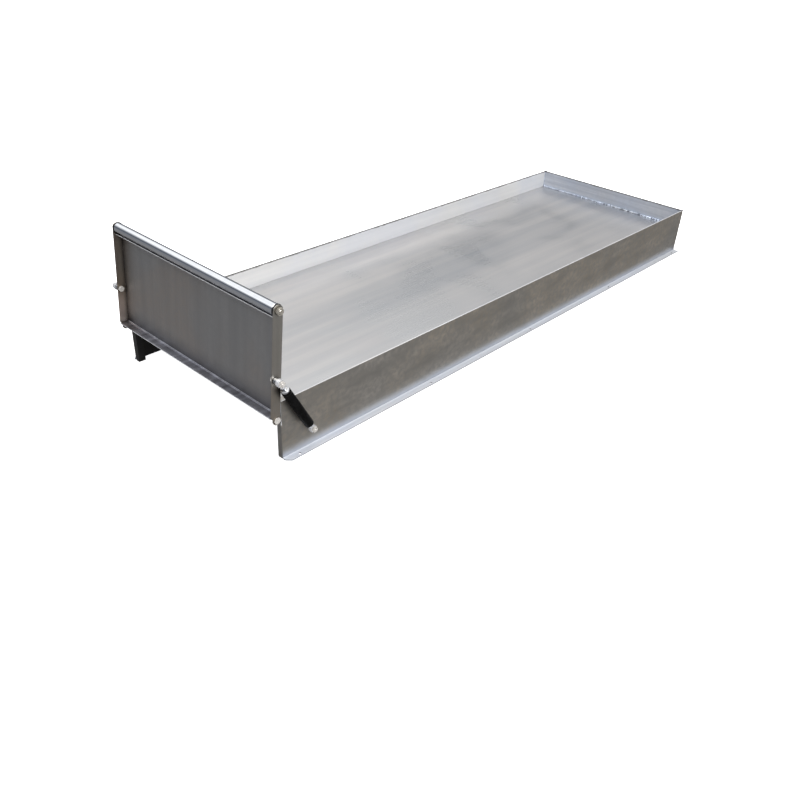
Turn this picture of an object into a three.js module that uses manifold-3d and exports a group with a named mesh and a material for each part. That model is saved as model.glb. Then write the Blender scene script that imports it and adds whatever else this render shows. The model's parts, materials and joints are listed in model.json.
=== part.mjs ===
// Long open sheet-metal tray on a raised floor, closed at one end by a wall and at the other
// by a drop gate with a roller along its top and a gas strut on each side.
// Millimetres. +X runs from the gate to the closed end, +Y is the tray's left side, +Z is up.
import * as THREE from 'three';
import { mergeVertices } from 'three/addons/utils/BufferGeometryUtils.js';
import Module from 'manifold-3d';

const wasm = await Module();
wasm.setup();

// Tray
const TRAY_LENGTH = 1880;
const TRAY_WIDTH = 600;
const TRAY_HEIGHT = 153;
const SHEET = 3;
const BEND_RADIUS = 3;
const FLOOR_HEIGHT = 92;
const CORNER_RADIUS = 9;

// Foot flanges and their bolt holes
const FOOT_WIDTH = 19;
const FOOT_CHAMFER = 12;
const FOOT_HOLE_RADIUS = 3.25;
const FOOT_HOLE_OUT = 11.5;
const FOOT_HOLE_MARGIN = 40;
const FOOT_HOLE_COUNT = 5;

// Front posts and the bearers under the floor
const POST_WIDTH = 13;
const POST_DEPTH = 20;
const POST_WALL = 2;
const BEARER_COUNT = 4;
const BEARER_WIDTH = 30;
const BEARER_HEIGHT = 28;
const BEARER_WALL = 2.5;

// Gate hinge
const HINGE_HEIGHT = 110;
const HINGE_PIN_RADIUS = 3;
const HINGE_HEAD_RADIUS = 8.3;
const HINGE_HEAD_HEIGHT = 3.2;
const HINGE_NUT_HEIGHT = 5;
const LUG_THICKNESS = 5;
const LUG_ROOT_DROP = 16;

// Gate, measured from the hinge axis along the leaning gate
const GATE_LEAN = THREE.MathUtils.degToRad(4.2);
const GATE_SHEET = 2.5;
const GATE_DEPTH = 24.5;
const GATE_BACK = 7.8;
const GATE_FOOT = 6.6;
const LIP_DEPTH = 18;
const CHAMFER_RISE = 12;
const EAR_RADIUS = 11;

// Roller and its axle
const ROLLER_RISE = 258;
const ROLLER_RADIUS = 12.5;
const ROLLER_WALL = 2;
const CAP_STAND = 0.8;
const CAP_RIM = 3.5;
const CAP_PLUG = 14;
const AXLE_RADIUS = 5;
const AXLE_NUT_RADIUS = 8.6;
const AXLE_NUT_HEIGHT = 8;

// Gas struts: both studs sit one arm away from the hinge axis
const STRUT_ARM = 102;
const GATE_STUD_ANGLE = THREE.MathUtils.degToRad(90.6);
const BASE_STUD_ANGLE = THREE.MathUtils.degToRad(-31.3);
const EYE_RADIUS = 9;
const EYE_THICKNESS = 8;
const NECK_RADIUS = 6;
const NECK_END = 15;
const STRUT_TUBE_RADIUS = 11;
const STRUT_TUBE_WALL = 1.7;
const STRUT_TUBE_START = 20;
const STRUT_TUBE_BASE = 6;
const GLAND_STEP = 0.8;
const GLAND_HEIGHT = 6;
const ROD_RADIUS = 4;
const ROD_SHOWN = 7;
const PISTON_REST = 57;
const PISTON_HEIGHT = 8;

// Fasteners
const STUD_RADIUS = 4;
const HEX_RADIUS = 7.5;
const HEX_HEIGHT = 5.5;
const SPACER_RADIUS = 7;
const THREAD_END = 2;

// Clearances
const TOUCH_GAP = 0.3;
const RUNNING_GAP = 0.08;
const BOLT_GAP = 0.3;
const PISTON_GAP = 0.3;
const NECK_GAP = 0.5;
const STRUT_GAP = 1;
const GATE_GAP = 1;
const ROLLER_GAP = 0.6;
const LIP_GAP = 1.7;
const LUG_GAP = 1;

// Facets round a full circle
const FINE = 48;
const PLAIN = 24;
const HEX = 6;
const BEND_FACETS = 5;

// Worked out from the sizes above
const HALF_WIDTH = TRAY_WIDTH / 2;
const TRAY_INNER = HALF_WIDTH - SHEET;
const GATE_INNER = HALF_WIDTH - GATE_SHEET;
const GATE_FRONT = GATE_BACK - GATE_DEPTH;
const GATE_MIDDLE = (GATE_BACK + GATE_FRONT) / 2;
const HINGE_OUT = Math.max(
  GATE_BACK / Math.cos(GATE_LEAN) + (TRAY_HEIGHT - HINGE_HEIGHT) * Math.tan(GATE_LEAN) + GATE_GAP,
  EAR_RADIUS + GATE_GAP,
);
const CAP_RADIUS = ROLLER_RADIUS + CAP_STAND;
const LUG_RADIUS = GATE_FOOT - LUG_GAP;
const LIP_TOP = ROLLER_RISE - CAP_RADIUS - LIP_GAP;
const LUG_OUTER = Math.min(TRAY_INNER, GATE_INNER) - TOUCH_GAP;
const LUG_INNER = LUG_OUTER - LUG_THICKNESS;
const HINGE_NUT_INNER = LUG_INNER - TOUCH_GAP - HINGE_NUT_HEIGHT;
const STRUT_OFFSET = TOUCH_GAP + HINGE_HEAD_HEIGHT + STRUT_GAP + STRUT_TUBE_RADIUS;
const EYE_INNER = HALF_WIDTH + STRUT_OFFSET - EYE_THICKNESS / 2;
const EYE_OUTER = EYE_INNER + EYE_THICKNESS;
const STRUT_REACH = 2 * STRUT_ARM * Math.sin((GATE_STUD_ANGLE - BASE_STUD_ANGLE) / 2);
const NECK_START = Math.max(HEX_RADIUS, SPACER_RADIUS) + NECK_GAP;
const STRUT_TUBE_END = STRUT_REACH - NECK_END - ROD_SHOWN - GLAND_HEIGHT - TOUCH_GAP;
const ROD_END = STRUT_REACH - STRUT_TUBE_START - STRUT_TUBE_BASE - PISTON_REST;

const GATE_NOSE = HINGE_OUT - GATE_FRONT * Math.cos(GATE_LEAN) - GATE_FOOT * Math.sin(GATE_LEAN);
const CENTRE = (TRAY_LENGTH - GATE_NOSE) / 2;

const SIDES = [
  { name: 'right', sign: -1 },
  { name: 'left', sign: 1 },
];

// Materials
const finish = (color, roughness, metalness) => ({ color, roughness, metalness });
const SATIN = finish(0xb9bcc0, 0.38, 0.9);
const GATE_SATIN = finish(0x8e8d8a, 0.42, 0.85);
const POLISHED = finish(0xdfe3e8, 0.16, 1);
const ZINC = finish(0xcfcabf, 0.3, 0.9);
const BLACK_PAINT = finish(0x0c0c0d, 0.35, 0.1);
const BLACK_PLASTIC = finish(0x101011, 0.55, 0);
const GREY_STEEL = finish(0x8c8f93, 0.35, 0.9);

function named(name, geometry, look, parent) {
  geometry.computeVertexNormals();
  const mesh = new THREE.Mesh(geometry, new THREE.MeshStandardMaterial(look));
  mesh.name = name;
  parent.add(mesh);
  return mesh;
}

// Shapes

function toManifold(geometry) {
  const bare = geometry.clone();
  bare.deleteAttribute('normal');
  bare.deleteAttribute('uv');
  const merged = mergeVertices(bare);
  const mesh = new wasm.Mesh({
    numProp: 3,
    vertProperties: Float32Array.from(merged.attributes.position.array),
    triVerts: Uint32Array.from(merged.index.array),
  });
  return new wasm.Manifold(mesh);
}

function fromManifold(manifold) {
  const mesh = manifold.getMesh();
  const geometry = new THREE.BufferGeometry();
  geometry.setAttribute('position', new THREE.BufferAttribute(mesh.vertProperties, 3));
  geometry.setIndex(new THREE.BufferAttribute(mesh.triVerts, 1));
  return geometry.toNonIndexed();
}

function cut(geometry, tools) {
  let solid = toManifold(geometry);
  for (const tool of tools) solid = solid.subtract(toManifold(tool));
  return fromManifold(solid);
}

function join(geometries) {
  let solid = toManifold(geometries[0]);
  for (const other of geometries.slice(1)) solid = solid.add(toManifold(other));
  return fromManifold(solid);
}

function outline(points) {
  return new THREE.Shape(points.map(([x, y]) => new THREE.Vector2(x, y)));
}

function extrude(shape, depth) {
  return new THREE.ExtrudeGeometry(shape, { depth, bevelEnabled: false, curveSegments: PLAIN });
}

// The section of a sheet folded at right angles along a centreline, with a round at each fold.
function foldedSheet(path, thickness) {
  const points = path.map(([x, y]) => new THREE.Vector2(x, y));
  const radius = BEND_RADIUS + thickness / 2;
  const left = [];
  const right = [];
  const addPair = (point, outward) => {
    left.push(point.clone().addScaledVector(outward, thickness / 2));
    right.push(point.clone().addScaledVector(outward, -thickness / 2));
  };
  const leftOf = (direction) => new THREE.Vector2(-direction.y, direction.x);
  points.forEach((point, i) => {
    const into = i > 0 ? point.clone().sub(points[i - 1]).normalize() : null;
    const out = i < points.length - 1 ? points[i + 1].clone().sub(point).normalize() : null;
    if (!into || !out) {
      addPair(point, leftOf(into || out));
      return;
    }
    const turn = Math.sign(into.cross(out));
    const centre = point.clone().addScaledVector(into, -radius).addScaledVector(out, radius);
    for (let step = 0; step <= BEND_FACETS; step += 1) {
      const angle = (Math.PI / 2) * (step / BEND_FACETS);
      const spoke = out.clone().multiplyScalar(-Math.cos(angle)).addScaledVector(into, Math.sin(angle));
      addPair(centre.clone().addScaledVector(spoke, radius), spoke.multiplyScalar(-turn));
    }
  });
  return new THREE.Shape([...left, ...right.reverse()]);
}

// A shape drawn in X and Z, given its thickness along Y between two planes.
function alongY(shape, yStart, yEnd) {
  const low = Math.min(yStart, yEnd);
  const high = Math.max(yStart, yEnd);
  return extrude(shape, high - low).rotateX(Math.PI / 2).translate(0, high, 0);
}

// A shape drawn in Y and Z, given its length along X.
function alongX(shape, length) {
  const axes = new THREE.Matrix4().makeBasis(
    new THREE.Vector3(0, 1, 0),
    new THREE.Vector3(0, 0, 1),
    new THREE.Vector3(1, 0, 0),
  );
  return extrude(shape, length).applyMatrix4(axes);
}

function box(xs, ys, zs) {
  const size = [xs, ys, zs].map(([low, high]) => high - low);
  const middle = [xs, ys, zs].map(([low, high]) => (low + high) / 2);
  return new THREE.BoxGeometry(...size).translate(...middle);
}

// A cylinder along Y between two planes; the same order of planes works on either side.
function pin(radius, yStart, yEnd, facets = PLAIN) {
  const length = Math.abs(yEnd - yStart);
  return new THREE.CylinderGeometry(radius, radius, length, facets).translate(0, (yStart + yEnd) / 2, 0);
}

function ring(outer, inner, yStart, yEnd, facets = FINE) {
  const low = Math.min(yStart, yEnd);
  const high = Math.max(yStart, yEnd);
  const profile = [[inner, low], [outer, low], [outer, high], [inner, high], [inner, low]];
  return new THREE.LatheGeometry(profile.map(([r, y]) => new THREE.Vector2(r, y)), facets);
}

function upright(geometry) {
  return geometry.rotateX(Math.PI / 2);
}

function armPoint(angle) {
  return new THREE.Vector3(STRUT_ARM * Math.cos(angle), 0, STRUT_ARM * Math.sin(angle));
}

// Tray

const baseStud = armPoint(BASE_STUD_ANGLE).add(new THREE.Vector3(-HINGE_OUT, 0, HINGE_HEIGHT));

function footHoles(sign) {
  const pitch = (TRAY_LENGTH - 2 * FOOT_HOLE_MARGIN) / (FOOT_HOLE_COUNT - 1);
  return Array.from({ length: FOOT_HOLE_COUNT }, (_, i) => {
    const hole = new THREE.CylinderGeometry(FOOT_HOLE_RADIUS, FOOT_HOLE_RADIUS, 3 * SHEET, PLAIN);
    return upright(hole).translate(FOOT_HOLE_MARGIN + i * pitch, sign * (HALF_WIDTH + FOOT_HOLE_OUT), 0);
  });
}

// Side plate and foot flange are one bent sheet.
function sidePlate(sign) {
  const profile = foldedSheet([
    [sign * (HALF_WIDTH + FOOT_WIDTH), SHEET / 2],
    [sign * (HALF_WIDTH - SHEET / 2), SHEET / 2],
    [sign * (HALF_WIDTH - SHEET / 2), TRAY_HEIGHT],
  ], SHEET);
  const outside = HALF_WIDTH + 2 * FOOT_WIDTH;
  const corner = outline([
    [TRAY_LENGTH - CORNER_RADIUS, TRAY_HEIGHT],
    [TRAY_LENGTH - CORNER_RADIUS, TRAY_HEIGHT + SHEET],
    [TRAY_LENGTH + SHEET, TRAY_HEIGHT + SHEET],
    [TRAY_LENGTH + SHEET, TRAY_HEIGHT - CORNER_RADIUS],
    [TRAY_LENGTH, TRAY_HEIGHT - CORNER_RADIUS],
  ]);
  corner.absarc(TRAY_LENGTH - CORNER_RADIUS, TRAY_HEIGHT - CORNER_RADIUS, CORNER_RADIUS, 0, Math.PI / 2);
  const chamfer = new THREE.CylinderGeometry(FOOT_CHAMFER, FOOT_CHAMFER, 3 * SHEET, 4);
  const studHole = pin(STUD_RADIUS + BOLT_GAP, 0, sign * outside, FINE);
  return cut(alongX(profile, TRAY_LENGTH), [
    alongY(corner, 0, sign * outside),
    upright(chamfer).translate(0, sign * (HALF_WIDTH + FOOT_WIDTH), 0),
    studHole.translate(baseStud.x, 0, baseStud.z),
    ...footHoles(sign),
  ]);
}

// The floor is a flat sheet, notched round the two posts.
function floorPanel() {
  const end = TRAY_LENGTH - SHEET - TOUCH_GAP;
  const side = TRAY_INNER - TOUCH_GAP;
  const postInner = TRAY_INNER - POST_WIDTH - 2 * TOUCH_GAP;
  const notches = SIDES.map(({ sign }) => box(
    [-SHEET, POST_DEPTH + TOUCH_GAP],
    [Math.min(sign * postInner, sign * HALF_WIDTH), Math.max(sign * postInner, sign * HALF_WIDTH)],
    [0, TRAY_HEIGHT],
  ));
  return cut(box([0, end], [-side, side], [FLOOR_HEIGHT - SHEET, FLOOR_HEIGHT]), notches);
}

function backWall() {
  const side = TRAY_INNER - TOUCH_GAP;
  return box([TRAY_LENGTH - SHEET, TRAY_LENGTH], [-side, side], [0, TRAY_HEIGHT]);
}

// A square tube closed at its top and open at the ground.
function frontPost(sign) {
  const outer = sign * (TRAY_INNER - TOUCH_GAP);
  const inner = outer - sign * POST_WIDTH;
  const ys = [Math.min(outer, inner), Math.max(outer, inner)];
  const hollow = box(
    [POST_WALL, POST_DEPTH - POST_WALL],
    [ys[0] + POST_WALL, ys[1] - POST_WALL],
    [-POST_WALL, TRAY_HEIGHT - POST_WALL],
  );
  return cut(box([0, POST_DEPTH], ys, [0, TRAY_HEIGHT]), [hollow]);
}

// A channel under the floor, open downwards.
function bearer(middle) {
  const top = FLOOR_HEIGHT - SHEET - TOUCH_GAP;
  const reach = (BEARER_WIDTH - BEARER_WALL) / 2;
  const profile = foldedSheet([
    [middle - reach, top - BEARER_HEIGHT],
    [middle - reach, top - BEARER_WALL / 2],
    [middle + reach, top - BEARER_WALL / 2],
    [middle + reach, top - BEARER_HEIGHT],
  ], BEARER_WALL);
  const side = TRAY_INNER - TOUCH_GAP;
  return alongY(profile, -side, side);
}

// A plate on the front of each post, with the hinge pin's hole in its nose.
function hingeLug(sign) {
  const face = -TOUCH_GAP;
  const plate = outline([
    [-HINGE_OUT, HINGE_HEIGHT + LUG_RADIUS],
    [face, HINGE_HEIGHT + LUG_RADIUS],
    [face, HINGE_HEIGHT - LUG_ROOT_DROP],
    [-HINGE_OUT, HINGE_HEIGHT - LUG_RADIUS],
  ]);
  const ys = [sign * LUG_INNER, sign * LUG_OUTER];
  const nose = pin(LUG_RADIUS, ...ys, FINE).translate(-HINGE_OUT, 0, HINGE_HEIGHT);
  const hole = pin(HINGE_PIN_RADIUS + BOLT_GAP, 0, sign * TRAY_WIDTH, FINE);
  return cut(join([alongY(plate, ...ys), nose]), [hole.translate(-HINGE_OUT, 0, HINGE_HEIGHT)]);
}

function hexNut(sign, start, radius, height, boreRadius) {
  const nut = pin(radius, sign * start, sign * (start + height), HEX);
  return cut(nut, [pin(boreRadius + BOLT_GAP, 0, sign * TRAY_WIDTH, PLAIN)]);
}

// Low round head outside the cheek, shank through cheek and lug, thread in the nut.
function hingeBolt(sign) {
  const headStart = HALF_WIDTH + TOUCH_GAP;
  const profile = [
    [0, HINGE_NUT_INNER - THREAD_END],
    [HINGE_PIN_RADIUS, HINGE_NUT_INNER - THREAD_END],
    [HINGE_PIN_RADIUS, headStart],
    [HINGE_HEAD_RADIUS, headStart],
    [HINGE_HEAD_RADIUS, headStart + HINGE_HEAD_HEIGHT / 2],
    [HINGE_HEAD_RADIUS * 0.75, headStart + HINGE_HEAD_HEIGHT],
    [0, headStart + HINGE_HEAD_HEIGHT],
  ];
  const bolt = new THREE.LatheGeometry(profile.map(([r, y]) => new THREE.Vector2(r, y)), FINE);
  return sign > 0 ? bolt : bolt.rotateX(Math.PI);
}

// Hex head inside the sheet, shank out through spacer and strut eye.
function studBolt(sign, innerFace) {
  const headEnd = innerFace - TOUCH_GAP;
  const tip = EYE_OUTER + TOUCH_GAP + HEX_HEIGHT + THREAD_END;
  return join([
    pin(HEX_RADIUS, sign * (headEnd - HEX_HEIGHT), sign * headEnd, HEX),
    pin(STUD_RADIUS, sign * (headEnd - HEX_HEIGHT / 2), sign * tip, FINE),
  ]);
}

function addStud(parent, prefix, sign, innerFace, place) {
  const nut = hexNut(sign, EYE_OUTER + TOUCH_GAP, HEX_RADIUS, HEX_HEIGHT, STUD_RADIUS);
  const spacerEnds = [sign * (HALF_WIDTH + TOUCH_GAP), sign * (EYE_INNER - TOUCH_GAP)];
  const spacer = ring(SPACER_RADIUS, STUD_RADIUS + BOLT_GAP, ...spacerEnds);
  named(`${prefix}_bolt`, studBolt(sign, innerFace), ZINC, parent).position.copy(place);
  named(`${prefix}_spacer`, spacer, GREY_STEEL, parent).position.copy(place);
  named(`${prefix}_nut`, nut, ZINC, parent).position.copy(place);
}

function makeTray() {
  const tray = new THREE.Group();
  named('floor_panel', floorPanel(), SATIN, tray);
  named('back_wall', backWall(), SATIN, tray);
  for (let i = 0; i < BEARER_COUNT; i += 1) {
    const middle = (TRAY_LENGTH * (i + 0.5)) / BEARER_COUNT;
    named(`cross_bearer_${i + 1}`, bearer(middle), SATIN, tray);
  }
  for (const { name, sign } of SIDES) {
    named(`${name}_side_plate`, sidePlate(sign), SATIN, tray);
    named(`${name}_front_post`, frontPost(sign), SATIN, tray);
    named(`${name}_hinge_lug`, hingeLug(sign), SATIN, tray);
    const bolt = named(`${name}_hinge_bolt`, hingeBolt(sign), ZINC, tray);
    const nut = hexNut(sign, HINGE_NUT_INNER, LUG_RADIUS, HINGE_NUT_HEIGHT, HINGE_PIN_RADIUS);
    const nutMesh = named(`${name}_hinge_nut`, nut, ZINC, tray);
    bolt.position.set(-HINGE_OUT, 0, HINGE_HEIGHT);
    nutMesh.position.copy(bolt.position);
    addStud(tray, `${name}_strut_base`, sign, TRAY_INNER, baseStud);
  }
  return tray;
}

// Gate, in its own frame: origin on the hinge axis, +Z up along the leaning gate.

const gateStud = armPoint(GATE_STUD_ANGLE).applyAxisAngle(new THREE.Vector3(0, 1, 0), -GATE_LEAN);

// One bent sheet: back plate, bottom flange and the narrow lip under the roller.
function gatePanel() {
  const half = GATE_SHEET / 2;
  const profile = foldedSheet([
    [GATE_FRONT, GATE_FOOT + half],
    [GATE_BACK - half, GATE_FOOT + half],
    [GATE_BACK - half, LIP_TOP - half],
    [GATE_BACK - LIP_DEPTH, LIP_TOP - half],
  ], GATE_SHEET);
  const side = GATE_INNER - TOUCH_GAP;
  return alongY(profile, -side, side);
}

// Side of the gate: round top about the roller, chamfered foot and an ear about the hinge.
function gateCheek(sign) {
  const half = GATE_DEPTH / 2;
  const side = outline([
    [0, -EAR_RADIUS],
    [GATE_BACK, 0],
  ]);
  side.lineTo(GATE_BACK, ROLLER_RISE);
  side.absarc(GATE_MIDDLE, ROLLER_RISE, half, 0, Math.PI);
  side.lineTo(GATE_FRONT, CHAMFER_RISE);
  const ys = [sign * GATE_INNER, sign * HALF_WIDTH];
  const ear = pin(EAR_RADIUS, ...ys, FINE);
  const axleHole = pin(AXLE_RADIUS + BOLT_GAP, 0, sign * TRAY_WIDTH, FINE);
  const studHole = pin(STUD_RADIUS + BOLT_GAP, 0, sign * TRAY_WIDTH, FINE);
  return cut(join([alongY(side, ...ys), ear]), [
    pin(HINGE_PIN_RADIUS + RUNNING_GAP, 0, sign * TRAY_WIDTH, FINE),
    axleHole.translate(GATE_MIDDLE, 0, ROLLER_RISE),
    studHole.translate(gateStud.x, 0, gateStud.z),
  ]);
}

// Plastic plug in the roller's end: rim against the tube, bore on the axle.
function rollerCap(sign) {
  const outer = GATE_INNER - ROLLER_GAP;
  const rimInner = outer - CAP_RIM;
  const plugInner = rimInner - CAP_PLUG;
  const rim = ring(CAP_RADIUS, AXLE_RADIUS + RUNNING_GAP, sign * outer, sign * rimInner);
  const plugRadius = ROLLER_RADIUS - ROLLER_WALL - TOUCH_GAP;
  const plug = ring(plugRadius, AXLE_RADIUS + RUNNING_GAP, sign * (rimInner + CAP_RIM / 2), sign * plugInner);
  return join([rim, plug]);
}

function makeGate() {
  const gate = new THREE.Group();
  gate.position.set(-HINGE_OUT, 0, HINGE_HEIGHT);
  gate.rotation.y = GATE_LEAN;
  named('gate_panel', gatePanel(), GATE_SATIN, gate);
  const axlePlace = new THREE.Vector3(GATE_MIDDLE, 0, ROLLER_RISE);
  const nutStart = HALF_WIDTH + TOUCH_GAP;
  const axleTip = nutStart + AXLE_NUT_HEIGHT + THREAD_END;
  named('roller_axle', pin(AXLE_RADIUS, -axleTip, axleTip, FINE), ZINC, gate).position.copy(axlePlace);
  for (const { name, sign } of SIDES) {
    named(`${name}_gate_cheek`, gateCheek(sign), GATE_SATIN, gate);
    const nut = hexNut(sign, nutStart, AXLE_NUT_RADIUS, AXLE_NUT_HEIGHT, AXLE_RADIUS);
    named(`${name}_axle_nut`, nut, ZINC, gate).position.copy(axlePlace);
    addStud(gate, `${name}_strut_gate`, sign, GATE_INNER, gateStud);
    named(`${name}_roller_cap`, rollerCap(sign), BLACK_PLASTIC, gate).position.copy(axlePlace);
  }
  const tubeEnd = GATE_INNER - ROLLER_GAP - CAP_RIM - TOUCH_GAP;
  const tube = ring(ROLLER_RADIUS, ROLLER_RADIUS - ROLLER_WALL, -tubeEnd, tubeEnd);
  named('roller_tube', tube, POLISHED, gate).position.copy(axlePlace);
  return gate;
}

// Strut pieces, in a frame with its origin on an eye's axis and +Z along the strut.

function eye(neckSign) {
  const halfThickness = EYE_THICKNESS / 2;
  const neckLength = NECK_END - NECK_START;
  const neck = upright(new THREE.CylinderGeometry(NECK_RADIUS, NECK_RADIUS, neckLength, PLAIN));
  const body = join([
    pin(EYE_RADIUS, -halfThickness, halfThickness, FINE),
    neck.translate(0, 0, (neckSign * (NECK_START + NECK_END)) / 2),
  ]);
  return cut(body, [pin(STUD_RADIUS + RUNNING_GAP, -EYE_RADIUS, EYE_RADIUS, FINE)]);
}

// A profile of radius against height, turned about Z.
function turned(profile) {
  return upright(new THREE.LatheGeometry(profile.map(([r, z]) => new THREE.Vector2(r, z)), FINE));
}

function strutTube() {
  const start = STRUT_TUBE_START;
  const bore = STRUT_TUBE_RADIUS - STRUT_TUBE_WALL;
  return turned([
    [0, NECK_END + TOUCH_GAP],
    [NECK_RADIUS, NECK_END + TOUCH_GAP],
    [STRUT_TUBE_RADIUS, start],
    [STRUT_TUBE_RADIUS, STRUT_TUBE_END],
    [bore, STRUT_TUBE_END],
    [bore, start + STRUT_TUBE_BASE],
    [0, start + STRUT_TUBE_BASE],
  ]);
}

function gland() {
  const start = STRUT_TUBE_END + TOUCH_GAP;
  const radius = STRUT_TUBE_RADIUS - GLAND_STEP;
  const bore = ROD_RADIUS + BOLT_GAP;
  return turned([
    [bore, start],
    [radius, start],
    [radius, start + GLAND_HEIGHT],
    [bore, start + GLAND_HEIGHT],
    [bore, start],
  ]);
}

// The rod hangs down from the gate's eye and ends in the piston.
function strutRod() {
  const piston = STRUT_TUBE_RADIUS - STRUT_TUBE_WALL - PISTON_GAP;
  return turned([
    [0, -ROD_END],
    [piston, -ROD_END],
    [piston, -ROD_END + PISTON_HEIGHT],
    [ROD_RADIUS, -ROD_END + PISTON_HEIGHT],
    [ROD_RADIUS, -NECK_END - TOUCH_GAP],
    [0, -NECK_END - TOUCH_GAP],
  ]);
}

function makeStrut(name, sign) {
  const strut = new THREE.Group();
  strut.position.set(baseStud.x, sign * (HALF_WIDTH + STRUT_OFFSET), baseStud.z);
  strut.rotation.y = (GATE_STUD_ANGLE + BASE_STUD_ANGLE) / -2;
  named(`${name}_strut_lower_eye`, eye(1), GREY_STEEL, strut);
  named(`${name}_strut_tube`, strutTube(), BLACK_PAINT, strut);
  named(`${name}_strut_gland`, gland(), GREY_STEEL, strut);
  named(`${name}_strut_rod`, strutRod(), POLISHED, strut).position.z = STRUT_REACH;
  named(`${name}_strut_upper_eye`, eye(-1), GREY_STEEL, strut).position.z = STRUT_REACH;
  return strut;
}

const assembly = new THREE.Group();
assembly.position.x = -CENTRE;
assembly.add(makeTray(), makeGate());
for (const { name, sign } of SIDES) assembly.add(makeStrut(name, sign));

export default assembly;
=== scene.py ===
import json
import math
import random
import bmesh
import bpy
from mathutils import Matrix, Vector


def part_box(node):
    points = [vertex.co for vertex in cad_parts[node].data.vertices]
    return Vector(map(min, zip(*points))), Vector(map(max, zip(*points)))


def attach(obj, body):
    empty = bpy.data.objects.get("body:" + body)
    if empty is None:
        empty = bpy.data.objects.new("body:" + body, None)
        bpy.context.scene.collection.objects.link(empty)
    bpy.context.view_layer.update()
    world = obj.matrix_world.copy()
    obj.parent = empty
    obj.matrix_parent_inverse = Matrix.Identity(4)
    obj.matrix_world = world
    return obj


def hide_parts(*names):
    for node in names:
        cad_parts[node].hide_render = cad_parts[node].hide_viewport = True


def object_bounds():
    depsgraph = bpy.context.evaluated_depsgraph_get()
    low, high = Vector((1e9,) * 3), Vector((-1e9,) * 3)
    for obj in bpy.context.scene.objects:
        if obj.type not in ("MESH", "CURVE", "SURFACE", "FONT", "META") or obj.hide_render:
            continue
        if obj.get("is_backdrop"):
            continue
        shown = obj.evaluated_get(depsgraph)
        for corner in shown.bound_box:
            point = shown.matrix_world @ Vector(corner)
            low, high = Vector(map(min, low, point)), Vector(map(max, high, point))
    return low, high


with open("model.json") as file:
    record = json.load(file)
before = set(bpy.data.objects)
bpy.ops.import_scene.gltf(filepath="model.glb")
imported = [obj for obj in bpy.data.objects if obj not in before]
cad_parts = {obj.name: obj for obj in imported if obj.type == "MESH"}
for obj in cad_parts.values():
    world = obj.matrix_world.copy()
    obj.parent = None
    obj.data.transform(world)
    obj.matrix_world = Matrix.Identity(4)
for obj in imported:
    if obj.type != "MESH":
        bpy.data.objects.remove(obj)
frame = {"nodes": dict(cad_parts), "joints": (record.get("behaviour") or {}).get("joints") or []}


# ---- Camera ----
# A lens of normal width, a little over a metre above the ground. It stands off the front right
# corner, higher than the roller, and looks down along the tray.
cad_low, cad_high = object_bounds()
view_camera = bpy.data.objects.new("view_camera", bpy.data.cameras.new("view_camera"))
view_camera.data.lens = 35.915
view_camera.location = (cad_low.x - 0.8748, cad_low.y - 1.0993, cad_high.z + 0.7051)
view_camera.rotation_euler = [math.radians(turn) for turn in (57.299, -2.764, -47.038)]
bpy.context.scene.collection.objects.link(view_camera)
bpy.context.scene.camera = view_camera
bpy.context.scene.view_settings.view_transform = "Standard"


# ---- Studio ----
# Floor paper and backdrop are plain white to look at and take no shadow. The metal mirrors a dark
# floor, a dim horizon and a dome that brightens quickly with height. A very soft sun straight
# above and a large soft box off the front right corner fill it in.
def add_node(tree, kind, **settings):
    node = tree.nodes.new(kind)
    for key, value in settings.items():
        setattr(node, key, value)
    return node


top_sun = bpy.data.objects.new("top_sun", bpy.data.lights.new("top_sun", "SUN"))
top_sun.data.energy = 0.7
top_sun.data.angle = math.radians(70)
bpy.context.scene.collection.objects.link(top_sun)

side_box = bpy.data.objects.new("side_box", bpy.data.lights.new("side_box", "AREA"))
side_box.data.shape = "RECTANGLE"
side_box.data.size, side_box.data.size_y = 2.6, 1.6
side_box.data.energy = 75
side_box.location = (cad_low.x - 0.2, cad_low.y - 2.0, 2.7)
box_aim = Vector((0.1, 0.2, 0.1))
side_box.rotation_euler = (box_aim - side_box.location).to_track_quat("-Z", "Y").to_euler()
bpy.context.scene.collection.objects.link(side_box)

sky = bpy.data.worlds.new("studio_sky")
sky.use_nodes = True
bpy.context.scene.world = sky
sky_tree = sky.node_tree
sky_coords = add_node(sky_tree, "ShaderNodeTexCoord")
sky_split = add_node(sky_tree, "ShaderNodeSeparateXYZ")
sky_ramp = add_node(sky_tree, "ShaderNodeValToRGB")
# Each stop is a height, from the horizon at 0 to the zenith at 1, and the colour mirrored there.
SKY_STOPS = ((0.0, (0.18, 0.2, 0.24)), (0.2, (0.1, 0.108, 0.125)), (0.32, (0.165, 0.173, 0.19)),
             (0.41, (0.5, 0.505, 0.52)), (0.55, (1.22, 1.22, 1.21)), (0.85, (1.0, 1.0, 1.0)))
BACKDROP_WHITE = (1, 1, 1, 1)
while len(sky_ramp.color_ramp.elements) < len(SKY_STOPS):
    sky_ramp.color_ramp.elements.new(0.5)
for stop, (height, colour) in zip(sky_ramp.color_ramp.elements, SKY_STOPS):
    stop.position = height
    stop.color = (*colour, 1)
sky_tree.links.new(sky_coords.outputs["Generated"], sky_split.inputs[0])
sky_tree.links.new(sky_split.outputs["Z"], sky_ramp.inputs[0])
sky_rays = add_node(sky_tree, "ShaderNodeLightPath")
sky_tone = add_node(sky_tree, "ShaderNodeMix", data_type="RGBA")
sky_tone.inputs[7].default_value = BACKDROP_WHITE
sky_tree.links.new(sky_rays.outputs["Is Camera Ray"], sky_tone.inputs[0])
sky_tree.links.new(sky_ramp.outputs[0], sky_tone.inputs[6])
sky_tree.links.new(sky_tone.outputs[2], sky_tree.nodes["Background"].inputs["Color"])

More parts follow.
